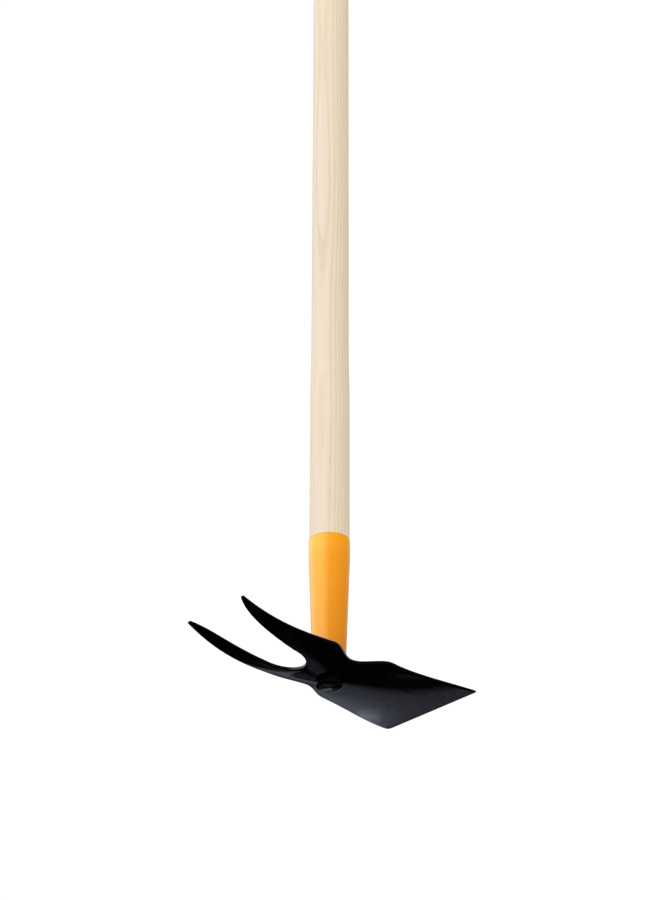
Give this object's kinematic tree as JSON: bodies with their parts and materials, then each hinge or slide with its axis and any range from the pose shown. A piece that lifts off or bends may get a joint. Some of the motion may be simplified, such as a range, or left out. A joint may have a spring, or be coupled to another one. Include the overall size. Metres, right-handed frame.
{
  "type": "weeding hoe",
  "caption": "Long handled weeding hoe: flat blade and curved tines forged as one black head, bolted under a straight wooden handle with an orange tapered ferrule.",
  "frame": {"origin": "centre of the small flat on the crown of the bolt's head, the lowest point, on the handle's axis", "axes": "+Z along the handle from the head to the grip end, +X towards the blade's cutting edge, -X towards the tines, Y across the blade"},
  "size_m": [0.2254, 0.1016, 1.3879],
  "materials": {
    "hardwood": "clear satin lacquer",
    "orange_enamel": "gloss",
    "black_enamel": "gloss",
    "dark_steel": "satin"
  },
  "bodies": {
    "root": {"handle": "hardwood", "ferrule": "orange_enamel", "head": "black_enamel", "bolt": "black_enamel", "washer": "dark_steel"}
  },
  "joints": []
}
